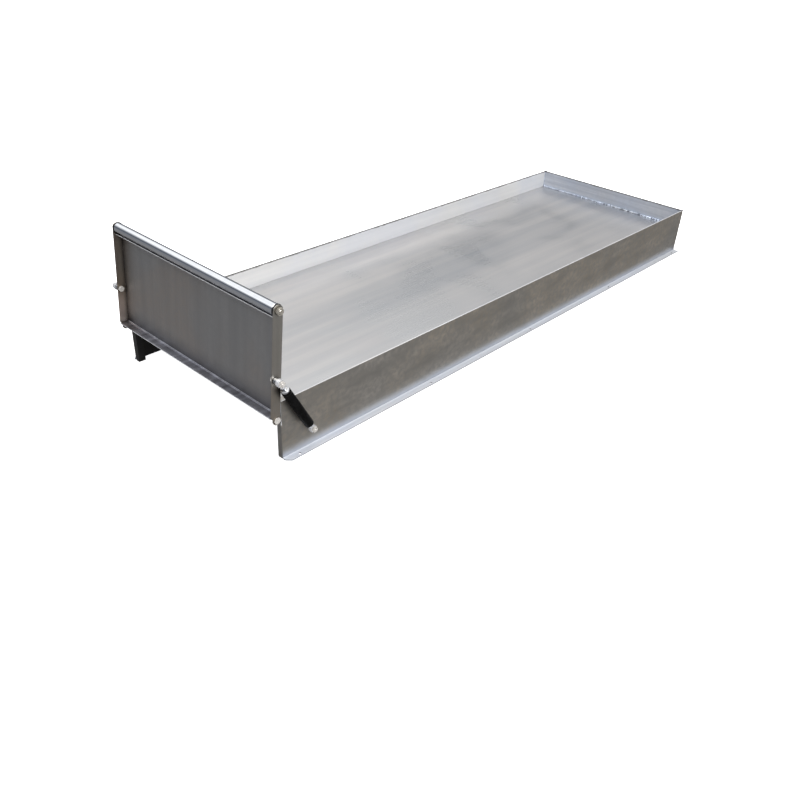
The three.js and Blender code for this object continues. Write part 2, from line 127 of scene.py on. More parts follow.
PAPER_SIZE, PAPER_DROP = 30, 0.0005
PAPER_PALE = (0.94, 0.94, 0.94, 1)
PAPER_MIRRORED = (0.125, 0.125, 0.128, 1)
PAPER_GLOW = (2.4, 2.4, 2.4, 1)
stage_mesh = bpy.data.meshes.new("studio_floor")
stage_bm = bmesh.new()
bmesh.ops.create_grid(stage_bm, x_segments=2, y_segments=2, size=PAPER_SIZE)
stage_bm.to_mesh(stage_mesh)
stage_bm.free()
studio_floor = bpy.data.objects.new("studio_floor", stage_mesh)
studio_floor.location.z = cad_low.z - PAPER_DROP
bpy.context.scene.collection.objects.link(studio_floor)
floor_paper = bpy.data.materials.new("floor_paper")
floor_paper.use_nodes = True
paper_tree = floor_paper.node_tree
paper_shader = paper_tree.nodes["Principled BSDF"]
paper_shader.inputs["Roughness"].default_value = 0.9
paper_shader.inputs["Specular IOR Level"].default_value = 0.1
paper_shader.inputs["Emission Strength"].default_value = 0.42
paper_rays = add_node(paper_tree, "ShaderNodeLightPath")
paper_tone = add_node(paper_tree, "ShaderNodeMix", data_type="RGBA")
paper_tone.inputs[6].default_value = PAPER_PALE
paper_tone.inputs[7].default_value = PAPER_MIRRORED
paper_tree.links.new(paper_rays.outputs["Is Glossy Ray"], paper_tone.inputs[0])
paper_tree.links.new(paper_tone.outputs[2], paper_shader.inputs["Base Color"])
paper_glow = add_node(paper_tree, "ShaderNodeMix", data_type="RGBA")
paper_glow.inputs[7].default_value = PAPER_GLOW
paper_tree.links.new(paper_rays.outputs["Is Camera Ray"], paper_glow.inputs[0])
paper_tree.links.new(paper_tone.outputs[2], paper_glow.inputs[6])
paper_tree.links.new(paper_glow.outputs[2], paper_shader.inputs["Emission Color"])
stage_mesh.materials.append(floor_paper)
studio_floor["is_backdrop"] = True


# ---- Side plates with their foot flanges ----
# 3 mm stainless sheet, each plate and its flange folded in one piece and welded to the floor.
# Above the floor it is brushed bright along its length; outside it keeps a warm, dull mill face,
# and under the floor it is painted dark as shade.
FIT_PLAY = 0.0003
HALF_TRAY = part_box("left_front_post")[1].y + FIT_PLAY
SHEET = 0.003
FLOOR_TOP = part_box("floor_panel")[1].z
RIM_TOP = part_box("back_wall")[1].z


def brushing_group():
    """Scratches from a noise stretched by Fine, and broad faint bands from one stretched by Broad."""
    tree = bpy.data.node_groups.new("brushing", "ShaderNodeTree")
    for socket in ("Vector", "Fine", "Broad"):
        tree.interface.new_socket(name=socket, in_out="INPUT", socket_type="NodeSocketVector")
    start = add_node(tree, "NodeGroupInput")
    end = add_node(tree, "NodeGroupOutput")
    for output, stretch, detail in (("Scratches", "Fine", 5), ("Bands", "Broad", 3)):
        tree.interface.new_socket(name=output, in_out="OUTPUT", socket_type="NodeSocketFloat")
        pull = add_node(tree, "ShaderNodeVectorMath", operation="MULTIPLY")
        noise = add_node(tree, "ShaderNodeTexNoise")
        noise.inputs["Scale"].default_value = 1.0
        noise.inputs["Detail"].default_value = detail
        noise.inputs["Roughness"].default_value = 0.6
        tree.links.new(start.outputs["Vector"], pull.inputs[0])
        tree.links.new(start.outputs[stretch], pull.inputs[1])
        tree.links.new(pull.outputs[0], noise.inputs["Vector"])
        tree.links.new(noise.outputs["Fac"], end.inputs[output])
    return tree


def handling_group():
    """Cloudy marks left by hands and water, finer mottling in them, and small sharp spots."""
    tree = bpy.data.node_groups.new("handling", "ShaderNodeTree")
    tree.interface.new_socket(name="Vector", in_out="INPUT", socket_type="NodeSocketVector")
    start = add_node(tree, "NodeGroupInput")
    end = add_node(tree, "NodeGroupOutput")
    marks = (("Clouds", 4.0, 0.35, 0.65), ("Mottle", 70.0, 0.3, 0.7), ("Spots", 120.0, 0.66, 0.74))
    for output, scale, low, high in marks:
        tree.interface.new_socket(name=output, in_out="OUTPUT", socket_type="NodeSocketFloat")
        noise = add_node(tree, "ShaderNodeTexNoise")
        noise.inputs["Scale"].default_value = scale
        noise.inputs["Detail"].default_value = 6
        noise.inputs["Distortion"].default_value = 0.4
        window = add_node(tree, "ShaderNodeMapRange", interpolation_type="SMOOTHSTEP")
        window.inputs["From Min"].default_value = low
        window.inputs["From Max"].default_value = high
        tree.links.new(start.outputs["Vector"], noise.inputs["Vector"])
        tree.links.new(noise.outputs["Fac"], window.inputs["Value"])
        tree.links.new(window.outputs["Result"], end.inputs[output])
    return tree


def edge_group():
    """One on edges and corners, nothing on open faces: where handling rubs the metal bright."""
    tree = bpy.data.node_groups.new("rubbed_edges", "ShaderNodeTree")
    tree.interface.new_socket(name="Reach", in_out="INPUT", socket_type="NodeSocketFloat")
    tree.interface.new_socket(name="Edge", in_out="OUTPUT", socket_type="NodeSocketFloat")
    start = add_node(tree, "NodeGroupInput")
    end = add_node(tree, "NodeGroupOutput")
    rounded = add_node(tree, "ShaderNodeBevel", samples=4)
    plain = add_node(tree, "ShaderNodeNewGeometry")
    along = add_node(tree, "ShaderNodeVectorMath", operation="DOT_PRODUCT")
    window = add_node(tree, "ShaderNodeMapRange", interpolation_type="SMOOTHSTEP")
    window.inputs["From Min"].default_value = 0.995
    window.inputs["From Max"].default_value = 0.8
    tree.links.new(start.outputs["Reach"], rounded.inputs["Radius"])
    tree.links.new(rounded.outputs["Normal"], along.inputs[0])
    tree.links.new(plain.outputs["Normal"], along.inputs[1])
    tree.links.new(along.outputs["Value"], window.inputs["Value"])
    tree.links.new(window.outputs["Result"], end.inputs["Edge"])
    return tree


def band_group():
    """One at a height and fading to nothing over Reach to either side, with a ragged border."""
    tree = bpy.data.node_groups.new("level_band", "ShaderNodeTree")
    for socket, kind in (("Vector", "Vector"), ("Height", "Float"), ("Reach", "Float")):
        tree.interface.new_socket(name=socket, in_out="INPUT", socket_type="NodeSocket" + kind)
    tree.interface.new_socket(name="Band", in_out="OUTPUT", socket_type="NodeSocketFloat")
    start = add_node(tree, "NodeGroupInput")
    end = add_node(tree, "NodeGroupOutput")
    split = add_node(tree, "ShaderNodeSeparateXYZ")
    noise = add_node(tree, "ShaderNodeTexNoise")
    noise.inputs["Scale"].default_value = 45
    ragged = add_node(tree, "ShaderNodeMath", operation="MULTIPLY_ADD")
    ragged.inputs[1].default_value = 0.006
    away = add_node(tree, "ShaderNodeMath", operation="SUBTRACT")
    far = add_node(tree, "ShaderNodeMath", operation="ABSOLUTE")
    window = add_node(tree, "ShaderNodeMapRange", interpolation_type="SMOOTHSTEP")
    window.inputs["From Min"].default_value = 0.0
    window.inputs["To Min"].default_value = 1.0
    window.inputs["To Max"].default_value = 0.0
    tree.links.new(start.outputs["Vector"], split.inputs[0])
    tree.links.new(start.outputs["Vector"], noise.inputs["Vector"])
    tree.links.new(noise.outputs["Fac"], ragged.inputs[0])
    tree.links.new(split.outputs["Z"], ragged.inputs[2])
    tree.links.new(ragged.outputs[0], away.inputs[0])
    tree.links.new(start.outputs["Height"], away.inputs[1])
    tree.links.new(away.outputs[0], far.inputs[0])
    tree.links.new(far.outputs[0], window.inputs["Value"])
    tree.links.new(start.outputs["Reach"], window.inputs["From Max"])
    tree.links.new(window.outputs["Result"], end.inputs["Band"])
    return tree


def corner_group():
    """One deep in an inner corner and nothing a finger's width out of it: where shade is painted in corners.
    """
    tree = bpy.data.node_groups.new("corner_shade_mask", "ShaderNodeTree")
    tree.interface.new_socket(name="Reach", in_out="INPUT", socket_type="NodeSocketFloat")
    tree.interface.new_socket(name="Shade", in_out="OUTPUT", socket_type="NodeSocketFloat")
    start = add_node(tree, "NodeGroupInput")
    end = add_node(tree, "NodeGroupOutput")
    openness = add_node(tree, "ShaderNodeAmbientOcclusion", samples=6)
    window = add_node(tree, "ShaderNodeMapRange", interpolation_type="SMOOTHSTEP")
    window.inputs["From Min"].default_value = 0.9
    window.inputs["From Max"].default_value = 0.35
    tree.links.new(start.outputs["Reach"], openness.inputs["Distance"])
    tree.links.new(openness.outputs["AO"], window.inputs["Value"])
    tree.links.new(window.outputs["Result"], end.inputs["Shade"])
    return tree


brushing = brushing_group()
handling = handling_group()
rubbed_edges = edge_group()
level_band = band_group()
corner_shade_mask = corner_group()


def mix_colour(tree, mask, first, second, blend="MIX"):
    """A colour mix; mask, first and second are sockets or plain values."""
    mix = add_node(tree, "ShaderNodeMix", data_type="RGBA", blend_type=blend)
    for socket, value in ((mix.inputs[0], mask), (mix.inputs[6], first), (mix.inputs[7], second)):
        if isinstance(value, bpy.types.NodeSocket):
            tree.links.new(value, socket)
        else:
            socket.default_value = value
    return mix.outputs[2]


def span(tree, value, low, high):
    """A value from 0 to 1 brought into the range from low to high."""
    window = add_node(tree, "ShaderNodeMapRange")
    window.inputs["To Min"].default_value = low
    window.inputs["To Max"].default_value = high
    tree.links.new(value, window.inputs["Value"])
    return window.outputs["Result"]


SCRATCH_TONE = (0.55, 0.55, 0.56, 1)
# Painted shade: the colour the sheet darkens to deep in inner corners.
CORNER_SHADE_COLOUR = (0.03, 0.027, 0.024, 1)


def steel(name, light, dark, fine=(6, 700, 700), broad=(0.8, 45, 45), turn=0.0, rough=(0.26, 0.4),
          tint=(0.93, 0.95, 1.0), edge=(0.8, 0.8, 0.79), wear=0.6, depth=0.2, mottle=0.0, levels=(),
          metallic=1.0, shade_depth=0.0, reach=0.012, contrast=(-0.6, 1.6)):
    """Bare sheet: tones in bands along the grain, clouds and spots over them, rubbed edges.
    levels are bands of a height, a reach, a colour and a strength: real stains, painted shade and painted
    light.
    Corner shade is how dark the painted shade in inner corners is; contrast spreads the bands' tones."""
    sheet = bpy.data.materials.new(name)
    sheet.use_nodes = True
    tree = sheet.node_tree
    shader = tree.nodes["Principled BSDF"]
    shader.inputs["Metallic"].default_value = metallic
    coords = add_node(tree, "ShaderNodeTexCoord")
    lean = add_node(tree, "ShaderNodeMapping")
    lean.inputs["Rotation"].default_value = (0, turn, 0)
    grain = add_node(tree, "ShaderNodeGroup", node_tree=brushing)
    grain.inputs["Fine"].default_value = fine
    grain.inputs["Broad"].default_value = broad
    marks = add_node(tree, "ShaderNodeGroup", node_tree=handling)
    edges = add_node(tree, "ShaderNodeGroup", node_tree=rubbed_edges)
    edges.inputs["Reach"].default_value = 0.0015
    tree.links.new(coords.outputs["Object"], lean.inputs["Vector"])
    tree.links.new(lean.outputs["Vector"], grain.inputs["Vector"])
    tree.links.new(coords.outputs["Object"], marks.inputs["Vector"])
    scratches, bands = grain.outputs["Scratches"], grain.outputs["Bands"]
    colour = mix_colour(tree, span(tree, bands, *contrast), (*dark, 1), (*light, 1))
    colour = mix_colour(tree, marks.outputs["Clouds"], colour, (*tint, 1), "MULTIPLY")
    colour = mix_colour(tree, span(tree, marks.outputs["Mottle"], 0.0, mottle), colour, (*dark, 1))
    colour = mix_colour(tree, span(tree, scratches, -0.3, 0.7), colour, SCRATCH_TONE, "SOFT_LIGHT")
    colour = mix_colour(tree, span(tree, marks.outputs["Spots"], 0.0, 0.2), colour, (*dark, 1))
    for height, spread, stain_and_light, strength in levels:
        level = add_node(tree, "ShaderNodeGroup", node_tree=level_band)
        level.inputs["Height"].default_value = height
        level.inputs["Reach"].default_value = spread
        tree.links.new(coords.outputs["Object"], level.inputs["Vector"])
        colour = mix_colour(tree, span(tree, level.outputs["Band"], 0.0, strength), colour, (*stain_and_light, 1))
    colour = mix_colour(tree, span(tree, edges.outputs["Edge"], 0.0, wear), colour, (*edge, 1))
    # Painted shade: the sheet darkens deep in its inner corners.
    if shade_depth:
        corner_shading = add_node(tree, "ShaderNodeGroup", node_tree=corner_shade_mask)
        corner_shading.inputs["Reach"].default_value = reach
        colour = mix_colour(tree, span(tree, corner_shading.outputs["Shade"], 0.0, shade_depth), colour, CORNER_SHADE_COLOUR)
    tree.links.new(colour, shader.inputs["Base Color"])
    gloss = add_node(tree, "ShaderNodeMath", operation="MULTIPLY_ADD")
    gloss.inputs[1].default_value = 0.1
    tree.links.new(marks.outputs["Clouds"], gloss.inputs[0])
    tree.links.new(span(tree, scratches, *rough), gloss.inputs[2])
    tree.links.new(gloss.outputs[0], shader.inputs["Roughness"])
    relief = add_node(tree, "ShaderNodeBump")
    relief.inputs["Strength"].default_value = depth
    relief.inputs["Distance"].default_value = 0.0004
    tree.links.new(scratches, relief.inputs["Height"])
    tree.links.new(relief.outputs["Normal"], shader.inputs["Normal"])
    return sheet


MERGE_WITHIN = 1e-6
FLAT_SHARE = 10


def finished(bm, name, nodes, body, materials, choose=None, bevel=0.0, segments=2, sharp=32):
    """Breaks the sharp edges of a mesh, and makes it the piece that stands for these nodes. A face
    much larger than the broken edge beside it keeps its own normals, so that it stays flat."""
    def corners():
        return [edge for edge in bm.edges
                if len(edge.link_faces) == 2 and edge.calc_face_angle() > math.radians(sharp)]
    if bevel:
        bmesh.ops.bevel(bm, geom=corners(), offset=bevel, segments=segments, profile=0.5,
                        affect="EDGES", clamp_overlap=True, material=-1)
    for face in bm.faces:
        face.smooth = True
        face.material_index = choose(face) if choose else 0
    for edge in corners():
        edge.smooth = False
    for edge in bm.edges if bevel else ():
        areas = [face.calc_area() for face in edge.link_faces]
        if max(areas) > FLAT_SHARE * min(areas):
            edge.smooth = False
    mesh = bpy.data.meshes.new(name)
    bm.to_mesh(mesh)
    bm.free()
    for material in materials:
        mesh.materials.append(material)
    piece = bpy.data.objects.new(name, mesh)
    bpy.context.scene.collection.objects.link(piece)
    if nodes:
        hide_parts(*nodes)
    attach(piece, body)
    return piece


def working_copy(node):
    """A clean copy of a working solid's mesh, with its flat faces made whole."""
    bm = bmesh.new()
    bm.from_mesh(frame["nodes"][node].data)
    bmesh.ops.remove_doubles(bm, verts=bm.verts, dist=MERGE_WITHIN)
    bmesh.ops.dissolve_limit(bm, angle_limit=math.radians(1), verts=bm.verts, edges=bm.edges)
    return bm


def scored(bm, height):
    """Divides the faces at one height, so that each side can have its own finish."""
    whole = bm.verts[:] + bm.edges[:] + bm.faces[:]
    bmesh.ops.bisect_plane(bm, geom=whole, plane_co=(0, 0, height), plane_no=(0, 0, 1),
                           dist=MERGE_WITHIN)


RIM_SHADE = (RIM_TOP + 0.003, 0.006, (0.12, 0.115, 0.11), 1.0)
inside_brushed = steel("inside_brushed", (0.85, 0.845, 0.83), (0.75, 0.75, 0.75), metallic=0.3,
                       levels=(RIM_SHADE,))
# Painted light: the outer face pales to a bluish white along its foot.
outside_mill = steel("outside_mill", (0.76, 0.715, 0.65), (0.51, 0.487, 0.445), fine=(60, 330, 330),
                     broad=(7, 20, 20), tint=(1.0, 0.95, 0.88), rough=(0.34, 0.46), edge=(0.75, 0.75, 0.72),
                     mottle=0.7, levels=((0.003, 0.033, (0.68, 0.71, 0.765), 1.0),), contrast=(-1.0, 2.0))
flange_bright = steel("flange_bright", (0.61, 0.63, 0.66), (0.47, 0.49, 0.53), metallic=0.3,
                      rough=(0.3, 0.42), edge=(0.85, 0.87, 0.9), wear=0.8)
# A dark mill finish for the lugs and bearers; on the sheet under the floor and on the far post it is painted
# shade.
dark_mill_shade = steel("dark_mill_shade", (0.15, 0.147, 0.138), (0.1, 0.097, 0.09), rough=(0.36, 0.5),
                  edge=(0.3, 0.3, 0.29), mottle=0.4)
post_mill = steel("post_mill", (0.54, 0.52, 0.48), (0.39, 0.37, 0.34), fine=(300, 300, 30),
                  rough=(0.34, 0.48), edge=(0.7, 0.7, 0.68), mottle=0.5)
# Painted shade: the far and back rims are dark sheet.
rim_shade_sheet = steel("rim_shade_sheet", (0.12, 0.115, 0.11), (0.07, 0.067, 0.063), edge=(0.14, 0.14, 0.13), wear=0.4,
                 metallic=0.2, rough=(0.5, 0.65))
# Painted shade: the flange's sawn edges are darker sheet.
flange_edge_shade = steel("flange_edge_shade", (0.33, 0.34, 0.36), (0.2, 0.205, 0.22), edge=(0.4, 0.41, 0.43), wear=0.3,
                    metallic=0.3, rough=(0.4, 0.55))
# Painted highlight: the near rim is pale sheet.
rim_highlight_sheet = steel("rim_highlight_sheet", (0.82, 0.81, 0.8), (0.6, 0.59, 0.58), broad=(3, 40, 40),
                   metallic=0.3, wear=0.2)
EDGE_BREAK = 0.0005
NEAR = 0.001
OUTER_SKIN = 0.0007


def plate_zone(face):
    """0 inside the tray, 1 outside, 2 on the foot flange, 3 under the floor, painted dark as shade,
    4 and 5 on the far and near rims, painted dark as shade and bright as a highlight,
    and 6 round the flange's sawn edges, painted dark as shade."""
    middle = face.calc_center_median()
    out = abs(middle.y) - HALF_TRAY
    if out > SHEET + NEAR and middle.z < 2 * SHEET:
        return 2 if abs(face.normal.z) > 0.5 else 6
    if middle.z > RIM_TOP - NEAR:
        return 4 if middle.y > 0 else 5
    if out > SHEET - OUTER_SKIN:
        return 1
    return 0 if middle.z > FLOOR_TOP - SHEET else 3


for side in ("right", "left"):
    plate_bm = working_copy(side + "_side_plate")
    scored(plate_bm, FLOOR_TOP - SHEET / 2)
    finished(plate_bm, side + "_side_sheet", [side + "_side_plate"], "tray",
             [inside_brushed, outside_mill, flange_bright, dark_mill_shade, rim_shade_sheet, rim_highlight_sheet, flange_edge_shade],
             plate_zone, EDGE_BREAK)


# ---- Floor and back wall ----
# Flat 3 mm stainless sheets. The floor is brushed along the tray, the wall across it, and the
# heat of the weld between them has left a faint blue and straw stain along the joint.
# Painted shade darkens the floor a little in its inner corners.
floor_brushed = steel("floor_brushed", (0.75, 0.74, 0.73), (0.57, 0.585, 0.605), fine=(5, 520, 520),
                      broad=(0.8, 15, 15), tint=(0.96, 0.945, 0.94), rough=(0.2, 0.32), wear=0.2,
                      shade_depth=0.1, reach=0.02, contrast=(-0.6, 1.6))
wall_brushed = steel("wall_brushed", (0.66, 0.68, 0.73), (0.47, 0.5, 0.56), fine=(500, 6, 500),
                     broad=(60, 1.5, 60), tint=(0.88, 0.93, 1.0), metallic=0.6, mottle=0.4,
                     contrast=(-1.0, 2.0), levels=((FLOOR_TOP, 0.02, (0.7, 0.78, 0.92), 0.5), RIM_SHADE))

# The floor's underside takes the dark finish as painted shade.
finished(working_copy("floor_panel"), "floor_sheet", ["floor_panel"], "tray",
         [floor_brushed, dark_mill_shade], lambda face: 0 if face.normal.z > 0.5 else 1, EDGE_BREAK)


def wall_zone(face):
    """0 inside above the floor, 1 outside, 2 along the rim (painted shade), 3 inside under the floor
    (painted shade).
    """
    middle = face.calc_center_median()
    if middle.z > RIM_TOP - NEAR:
        return 2
    if face.normal.x > -0.5:
        return 1
    return 0 if middle.z > FLOOR_TOP - SHEET else 3


wall_bm = working_copy("back_wall")
scored(wall_bm, FLOOR_TOP - SHEET / 2)
finished(wall_bm, "back_sheet", ["back_wall"], "tray",
         [wall_brushed, outside_mill, rim_shade_sheet, dark_mill_shade], wall_zone, EDGE_BREAK)


# ---- Welds ----
# Beads laid by hand: a wavy one along the floor's joint with the back wall, short ones up its
# corners, and stitches where the posts, hinge lugs, bearers and side plates meet.
WELD_RADIUS = 0.0034
WELD_PITCH = 0.0022
SEAM_STAND = 0.0016
STITCH_RADIUS = 0.002
STITCH_LENGTH = 0.026
BEAD_SIDES, BEAD_TIP, BEAD_RIPPLE = 10, 0.45, (0.82, 1.1)
weld_bm = bmesh.new()
weaving = random.Random(11)


def weld_bead(start, end, radius, sway=0.0):
    """A rippled bead with closed, tapered ends, swept from start to end in small steps."""
    start, end = Vector(start), Vector(end)
    path = end - start
    steps = max(4, round(path.length / WELD_PITCH))
    facing = path.to_track_quat("Z", "X").to_matrix().to_4x4()
    ring = bmesh.ops.create_circle(weld_bm, cap_ends=True, segments=BEAD_SIDES, radius=radius * BEAD_TIP,
                                   matrix=Matrix.Translation(start) @ facing)["verts"]
    centre, size = start.copy(), BEAD_TIP
    for step in range(1, steps + 1):
        cap = next(face for face in ring[0].link_faces if len(face.verts) == BEAD_SIDES)
        grown = bmesh.ops.extrude_face_region(weld_bm, geom=[cap])["geom"]
        ring = [part for part in grown if isinstance(part, bmesh.types.BMVert)]
        wander = Vector([weaving.uniform(-sway, sway) for _ in range(3)])
        target = start + path * (step / steps) + wander
        ripple = BEAD_TIP if step == steps else weaving.uniform(*BEAD_RIPPLE)
        bmesh.ops.translate(weld_bm, vec=target - centre, verts=ring)
        bmesh.ops.scale(weld_bm, vec=(ripple / size,) * 3, space=Matrix.Translation(-target), verts=ring)
        centre, size = target, ripple


SEAM_SWAY = 0.0007
END_GAP, WIDE_GAP = 0.003, 0.004
POST_STITCHES = (0.03, 0.07)
BEARERS = range(1, 5)
BEARER_STITCHES = 4
EDGE_STITCHES, FIRST_STITCH, STITCH_STEP = 8, 0.15, 0.23
wall_inside, post_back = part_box("back_wall")[0].x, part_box("left_front_post")[1].x
lug_low, lug_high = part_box("left_hinge_lug")
seam_x, seam_z = wall_inside - SEAM_STAND, FLOOR_TOP + SEAM_STAND
weld_bead((seam_x, -HALF_TRAY, seam_z), (seam_x, HALF_TRAY, seam_z), WELD_RADIUS, SEAM_SWAY)
for sign in (-1, 1):
    corner_y, lug_y = sign * HALF_TRAY, sign * lug_low.y
    weld_bead((wall_inside, corner_y, FLOOR_TOP), (wall_inside, corner_y, RIM_TOP - WIDE_GAP), STITCH_RADIUS)
    weld_bead((lug_high.x, lug_y, lug_low.z + WIDE_GAP), (lug_high.x, lug_y, lug_high.z - END_GAP),
              STITCH_RADIUS)
    for middle in POST_STITCHES:
        weld_bead((post_back, corner_y, middle - STITCH_LENGTH / 2),
                  (post_back, corner_y, middle + STITCH_LENGTH / 2), STITCH_RADIUS)
    for number in BEARERS:
        bearer_low, bearer_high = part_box(f"cross_bearer_{number}")
        for face_x in (bearer_low.x, bearer_high.x):
            weld_bead((face_x, corner_y, bearer_low.z + END_GAP),
                      (face_x, corner_y, bearer_high.z - END_GAP), STITCH_RADIUS)
            for stitch in range(BEARER_STITCHES):
                middle = sign * HALF_TRAY * (stitch + 0.5) / BEARER_STITCHES
                weld_bead((face_x, middle - STITCH_LENGTH / 2, bearer_high.z),
                          (face_x, middle + STITCH_LENGTH / 2, bearer_high.z), STITCH_RADIUS)
    for stitch in range(EDGE_STITCHES):
        middle = cad_low.x + FIRST_STITCH + stitch * STITCH_STEP
        weld_bead((middle - STITCH_LENGTH / 2, corner_y, FLOOR_TOP - SHEET),
                  (middle + STITCH_LENGTH / 2, corner_y, FLOOR_TOP - SHEET), STITCH_RADIUS)
bmesh.ops.recalc_face_normals(weld_bm, faces=weld_bm.faces)
weld_metal = steel("weld_metal", (0.6, 0.66, 0.76), (0.36, 0.4, 0.5), fine=(300, 300, 300),
                   broad=(40, 40, 40), tint=(0.9, 0.85, 0.75), rough=(0.3, 0.46), wear=0.0)
finished(weld_bm, "tray_welds", [], "tray", [weld_metal], sharp=80)

# Where the rims meet at the back corners, two dark burnt tacks hold them: a large one at the
# corner and a smaller one beside it. Each is how far it lies inward, and its radius.
TACKS = ((0.001, 0.0048), (0.013, 0.0034))
TACK_SQUAT = 0.4
tack_bm = bmesh.new()
wall_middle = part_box("back_wall")[1].x - SHEET / 2
for sign in (-1, 1):
    for inward, radius in TACKS:
        place = Matrix.Translation((wall_middle - inward / 3, sign * (HALF_TRAY - inward), RIM_TOP))
        bmesh.ops.create_icosphere(tack_bm, subdivisions=3, radius=radius,
                                   matrix=place @ Matrix.Diagonal((1, 1, TACK_SQUAT, 1)))
burnt_tack = steel("burnt_tack", (0.16, 0.15, 0.17), (0.06, 0.055, 0.06), fine=(300, 300, 300),
                   broad=(60, 60, 60), tint=(0.8, 0.75, 0.9), rough=(0.35, 0.55), wear=0.0)
finished(tack_bm, "corner_tacks", [], "tray", [burnt_tack], sharp=80)


# ---- Front posts and hinge lugs ----
# Square tube posts stand inside the front ends of the side plates. A thick plate lug, sawn and
# drilled for the hinge bolt, is welded to the face of each.
# The far (left) post takes the dark finish as painted shade; the near post keeps a lighter mill.
for side, face_metal in (("right", post_mill), ("left", dark_mill_shade)):
    finished(working_copy(side + "_front_post"), side + "_post", [side + "_front_post"], "tray",
             [face_metal], None, 0.0006)
    finished(working_copy(side + "_hinge_lug"), side + "_lug", [side + "_hinge_lug"], "tray",
             [dark_mill_shade], None, EDGE_BREAK)


# ---- Cross bearers ----
# Channels of folded sheet across the tray, open downwards. They stiffen the floor from below, and
# are stitched to it and to both side plates.
for number in BEARERS:
    node = f"cross_bearer_{number}"
    finished(working_copy(node), f"bearer_{number}", [node], "tray", [dark_mill_shade], None, 0.0004)


# ---- Gate sheets ----
# The gate is a shallow pan of 2.5 mm sheet brushed upright: one bent sheet for the back, bottom
# flange and lip, and a flat cheek with a rounded top on each side.
GATE_LEAN = math.radians(4.2)
upright_grain = {"fine": (520, 520, 7), "broad": (26, 26, 1.6), "turn": -GATE_LEAN, "mottle": 0.3}
# Painted shade: the back plate darkens in a ragged band near its bottom, and deep in its inner corners.
gate_brushed = steel("gate_brushed", (0.56, 0.56, 0.56), (0.45, 0.45, 0.455), tint=(1.0, 0.93, 0.87),
                     rough=(0.34, 0.46), edge=(0.6, 0.6, 0.6), wear=0.3, shade_depth=0.85, reach=0.03,
                     contrast=(-0.45, 1.45), levels=((0.12, 0.055, (0.14, 0.145, 0.165), 0.6),),
                     **upright_grain)
# Painted shade darkens the gate's flange and lip in their inner corners.
gate_flange = steel("gate_flange", (0.52, 0.53, 0.585), (0.19, 0.19, 0.21), rough=(0.3, 0.4),
                    edge=(0.75, 0.78, 0.85), wear=0.6, mottle=0.5, shade_depth=0.6, reach=0.006,
                    contrast=(-1.0, 2.0))
# Painted highlight: the lip's thin front edge is pale sheet.
lip_edge_highlight = steel("lip_edge_highlight", (0.8, 0.8, 0.82), (0.66, 0.66, 0.68), metallic=0.6)
# Painted shade darkens the near cheek in its inner corners.
cheek_brushed = steel("cheek_brushed", (0.6, 0.575, 0.52), (0.46, 0.435, 0.39), tint=(1.0, 0.88, 0.76),
                      rough=(0.32, 0.44), edge=(0.62, 0.6, 0.58), wear=0.4, shade_depth=0.9, contrast=(-0.9, 1.9),
                      **upright_grain)


LIP_EDGE_AREA = 0.003


def pan_zone(face):
    """0 on the back plate, 1 on the bottom flange and the lip, 2 on the lip's front edge, painted bright as
    a highlight.
    """
    if face.normal.x < -0.9 and face.calc_area() < LIP_EDGE_AREA:
        return 2
    return 1 if abs(face.normal.z) > 0.5 else 0


finished(working_copy("gate_panel"), "gate_pan", ["gate_panel"], "gate",
         [gate_brushed, gate_flange, lip_edge_highlight], pan_zone, 0.0004)
# The far cheek is a darker copy of the cheek finish as painted shade, with painted light in a warm pale band
# across its lower part.
cheek_shaded = steel("cheek_shaded", (0.46, 0.42, 0.37), (0.3, 0.27, 0.235), tint=(1.0, 0.88, 0.76),
                     rough=(0.34, 0.46), edge=(0.5, 0.47, 0.43), wear=0.4, shade_depth=0.9, contrast=(-0.7, 1.7),
                     levels=((0.165, 0.07, (0.86, 0.72, 0.62), 0.8),), **upright_grain)
for side, cheek_metal in (("right", cheek_brushed), ("left", cheek_shaded)):
    finished(working_copy(side + "_gate_cheek"), side + "_cheek", [side + "_gate_cheek"], "gate",
             [cheek_metal], None, 0.0004)

# The pan is welded to its cheeks from behind, in stitches up each corner.
GATE_STITCHES, GATE_FIRST, GATE_STEP = 4, 0.035, 0.058
GATE_SEAM_BACK, GATE_SEAM_OUT, GATE_BEAD = 0.0072, 0.0002, 0.0014
weld_bm = bmesh.new()
hinge_point, roller_point, base_point, gate_point = [joint["pos_m"] for joint in frame["joints"][:4]]
gate_up = Vector((math.sin(GATE_LEAN), 0, math.cos(GATE_LEAN)))
gate_back = Vector((math.cos(GATE_LEAN), 0, -math.sin(GATE_LEAN))) * GATE_SEAM_BACK
for sign in (-1, 1):
    for stitch in range(GATE_STITCHES):
        foot = Vector(hinge_point) + gate_back + gate_up * (GATE_FIRST + GATE_STEP * stitch)
        foot.y = sign * (HALF_TRAY + GATE_SEAM_OUT)
        weld_bead(foot, foot + gate_up * STITCH_LENGTH, GATE_BEAD)
bmesh.ops.recalc_face_normals(weld_bm, faces=weld_bm.faces)
finished(weld_bm, "gate_welds", [], "gate", [weld_metal], sharp=80)


# ---- Bolts, nuts and spacers ----
# Zinc-plated hardware: an M6 hinge bolt each side with a low round head, M8 hexagon heads and nuts
# with turned chamfers on the strut studs, M10 nuts on the roller's axle, and plain turned spacers.
THREAD_PITCH = 0.00125
THREAD_DEPTH = 0.0006


